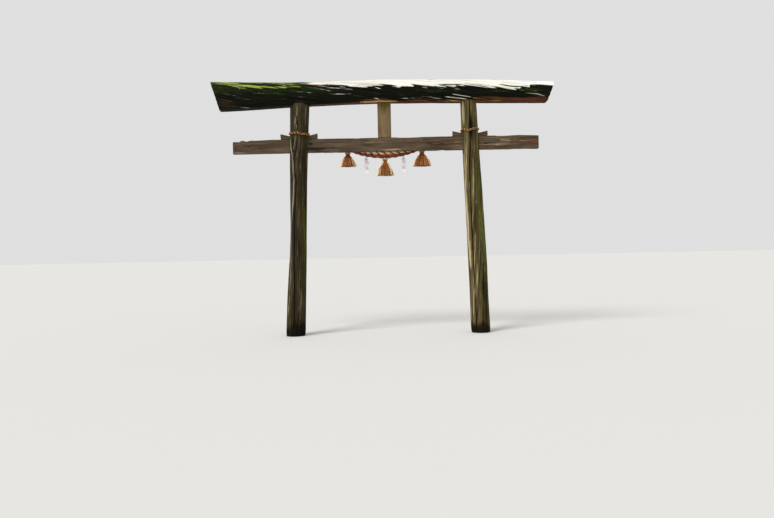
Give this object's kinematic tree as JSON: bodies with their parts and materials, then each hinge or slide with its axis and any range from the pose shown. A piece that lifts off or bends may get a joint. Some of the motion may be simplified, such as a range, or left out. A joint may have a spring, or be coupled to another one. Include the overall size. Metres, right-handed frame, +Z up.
{
  "type": "wooden torii gate",
  "caption": "Wooden torii gate: two leaning log posts, a log lintel, a wedged tie beam with a centre strut, and a hanging straw rope with tassels and paper streamers.",
  "frame": {"origin": "middle of the left post's foot, at ground level", "axes": "+X towards the right post, +Y away from the approach, +Z up"},
  "size_m": [5.978, 0.5482, 4.4438],
  "materials": {
    "left_post_wood": "weathered bare log, dark brown and grey with deep drying cracks",
    "right_post_wood": "weathered bare log, tan to olive with green algae and a damp foot",
    "lintel_wood": "rotted log, nearly black sides, pale grey shredded top with moss",
    "beam_wood": "weathered sawn timber, grey-brown with reddish stains",
    "strut_wood": "weathered sawn timber, light brown",
    "wedge_wood": "weathered split timber, brown",
    "straw_rope": "twisted rice straw, golden",
    "tassel_straw": "loose rice straw, orange-brown with pale tips",
    "tie_straw": "thin straw cord, pale",
    "white_paper": "folded white paper"
  },
  "bodies": {
    "root": {"left_post": "left_post_wood", "right_post": "right_post_wood", "lintel": "lintel_wood", "tie_beam": "beam_wood", "centre_strut": "strut_wood", "left_post_outer_wedge": "wedge_wood", "left_post_inner_wedge": "wedge_wood", "right_post_inner_wedge": "wedge_wood", "right_post_outer_wedge": "wedge_wood", "left_rope_wrap": "straw_rope", "right_rope_wrap": "straw_rope", "straw_rope": "straw_rope", "left_tassel": "tassel_straw", "middle_tassel": "tassel_straw", "right_tassel": "tassel_straw", "left_tassel_tie": "tie_straw", "middle_tassel_tie": "tie_straw", "right_tassel_tie": "tie_straw", "left_paper_streamer": "white_paper", "right_paper_streamer": "white_paper"}
  },
  "joints": []
}
